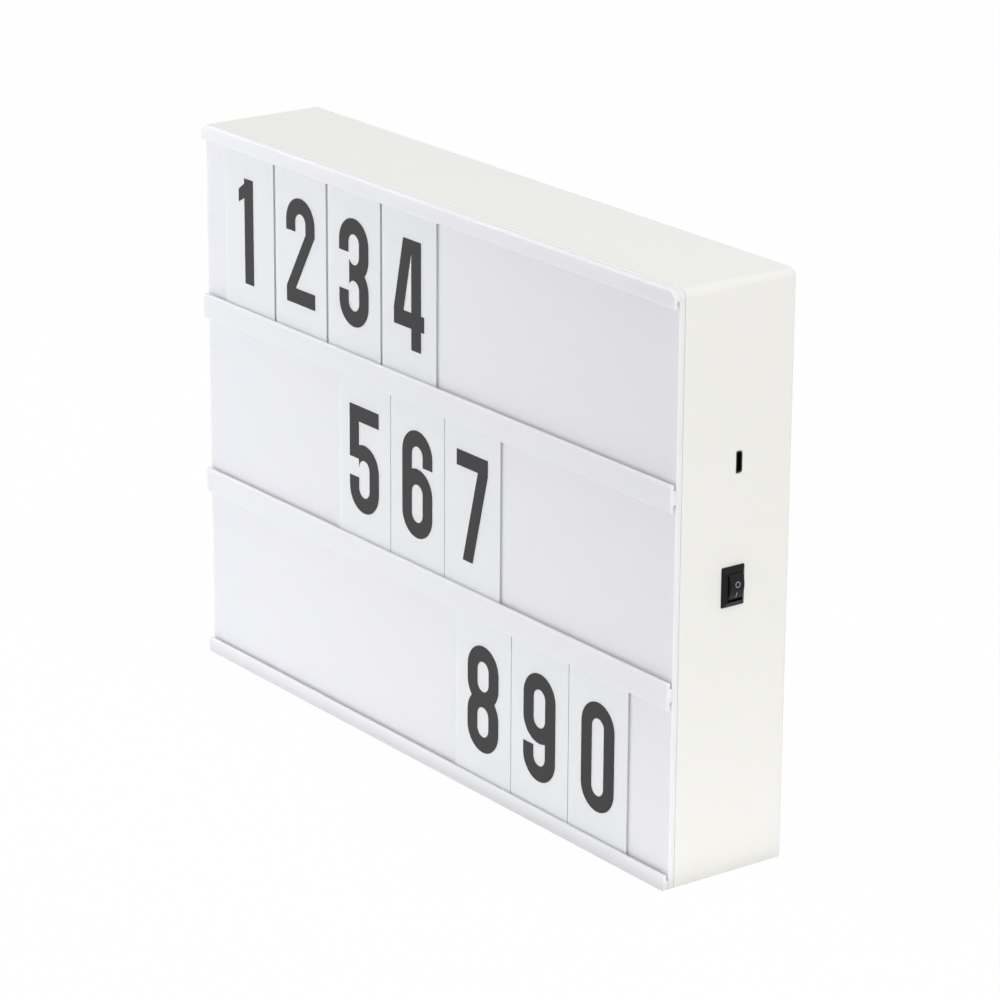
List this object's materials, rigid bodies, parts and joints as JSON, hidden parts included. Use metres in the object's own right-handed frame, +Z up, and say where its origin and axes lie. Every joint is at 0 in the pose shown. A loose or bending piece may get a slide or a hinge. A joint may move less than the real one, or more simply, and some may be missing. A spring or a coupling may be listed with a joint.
{
  "type": "cinema light box",
  "caption": "Free-standing cinema light box: slim white case, milky front panel, full-width rails for slide-in character cards, and a rocker switch and power inlet on its right side.",
  "frame": {"origin": "centre of the flat base, half way between the rail fronts and the back", "axes": "+Z up, the panel faces -Y, +X to the viewer's right, where the switch and the inlet are"},
  "size_m": [0.3032, 0.055, 0.222],
  "materials": {
    "case_abs": "fine satin, warm white",
    "panel_milky": "milky, smooth",
    "rail_milky": "milky, smooth",
    "card_clear": "clear, glossy",
    "print_black": "printed, satin",
    "switch_black": "satin black",
    "mark_white": "printed",
    "plunger_nylon": "moulded",
    "contact_brass": "stamped",
    "contact_nickel": "nickel plated",
    "terminal_tin": "tinned",
    "steel": "zinc plated",
    "board_green": "solder mask",
    "chip_black": "moulded",
    "strip_white": "white solder mask",
    "led_yellow": "phosphor",
    "cell_wrap": "printed sleeve, plain",
    "lead_red": "PVC insulation",
    "lead_black": "PVC insulation"
  },
  "bodies": {
    "light_box": {"case": "case_abs", "front_panel": "panel_milky", "top_rail": "rail_milky", "upper_middle_rail": "rail_milky", "lower_middle_rail": "rail_milky", "bottom_rail": "rail_milky", "switch_body": "switch_black", "switch_terminals": "terminal_tin", "power_board": "board_green", "power_board_parts": "chip_black", "power_board_screws": "steel", "inlet_shell": "steel", "inlet_tongue": "switch_black", "cell_1": "cell_wrap", "cell_2": "cell_wrap", "cell_3": "cell_wrap", "cell_4": "cell_wrap", "cell_5": "cell_wrap", "cell_6": "cell_wrap", "contact_springs": "steel", "contact_plates": "contact_nickel", "case_screws": "steel", "upper_led_strip": "strip_white", "lower_led_strip": "strip_white", "upper_leds": "led_yellow", "lower_leds": "led_yellow", "strip_resistors": "chip_black", "battery_lead": "lead_red", "board_lead": "lead_black", "switch_lead": "lead_red", "strip_lead": "lead_black"},
    "switch_rocker": {"rocker": "switch_black", "rocker_marks": "mark_white", "rocker_plunger": "plunger_nylon"},
    "see_saw_contact": {"switch_contact": "contact_brass"},
    "battery_cover": {"battery_door": "case_abs", "door_latch": "case_abs"},
    "card_1_body": {"card_1": "card_clear", "card_print_1": "print_black"},
    "card_2_body": {"card_2": "card_clear", "card_print_2": "print_black"},
    "card_3_body": {"card_3": "card_clear", "card_print_3": "print_black"},
    "card_4_body": {"card_4": "card_clear", "card_print_4": "print_black"},
    "card_5_body": {"card_5": "card_clear", "card_print_5": "print_black"},
    "card_6_body": {"card_6": "card_clear", "card_print_6": "print_black"},
    "card_7_body": {"card_7": "card_clear", "card_print_7": "print_black"},
    "card_8_body": {"card_8": "card_clear", "card_print_8": "print_black"},
    "card_9_body": {"card_9": "card_clear", "card_print_9": "print_black"},
    "card_10_body": {"card_10": "card_clear", "card_print_10": "print_black"}
  },
  "joints": [
    {"name": "rocker_tilt", "type": "hinge", "parent": "light_box", "child": "switch_rocker", "pos_m": [0.14895, 0.0012, 0.11], "axis": [0, 1, 0], "range_deg": [-20, 0]},
    {"name": "contact_tilt", "type": "hinge", "parent": "light_box", "child": "see_saw_contact", "pos_m": [0.14295, 0.0012, 0.11], "axis": [0, 1, 0], "range_deg": [0, 10]},
    {"name": "battery_door_swing", "type": "hinge", "parent": "light_box", "child": "battery_cover", "pos_m": [0, 0.0246, 0.011], "axis": [-1, 0, 0], "range_deg": [0, 45], "deforming": ["door_latch"]},
    {"name": "card_1_slide", "type": "slide", "parent": "light_box", "child": "card_1_body", "axis": [1, 0, 0], "range_m": [-0.014, 0.035]},
    {"name": "card_2_slide", "type": "slide", "parent": "card_1_body", "child": "card_2_body", "axis": [1, 0, 0], "range_m": [0, 0.035]},
    {"name": "card_3_slide", "type": "slide", "parent": "card_2_body", "child": "card_3_body", "axis": [1, 0, 0], "range_m": [0, 0.035]},
    {"name": "card_4_slide", "type": "slide", "parent": "card_3_body", "child": "card_4_body", "axis": [1, 0, 0], "range_m": [0, 0.035]},
    {"name": "card_5_slide", "type": "slide", "parent": "light_box", "child": "card_5_body", "axis": [1, 0, 0], "range_m": [-0.093, 0.033]},
    {"name": "card_6_slide", "type": "slide", "parent": "card_5_body", "child": "card_6_body", "axis": [1, 0, 0], "range_m": [0, 0.033]},
    {"name": "card_7_slide", "type": "slide", "parent": "card_6_body", "child": "card_7_body", "axis": [1, 0, 0], "range_m": [0, 0.033]},
    {"name": "card_10_slide", "type": "slide", "parent": "light_box", "child": "card_10_body", "axis": [1, 0, 0], "range_m": [-0.056, 0.0235]},
    {"name": "card_9_slide", "type": "slide", "parent": "card_10_body", "child": "card_9_body", "axis": [1, 0, 0], "range_m": [-0.056, 0]},
    {"name": "card_8_slide", "type": "slide", "parent": "card_9_body", "child": "card_8_body", "axis": [1, 0, 0], "range_m": [-0.056, 0]}
  ],
  "couplings": [
    {"joint": "contact_tilt", "follows": "rocker_tilt", "ratio": -0.5}
  ]
}
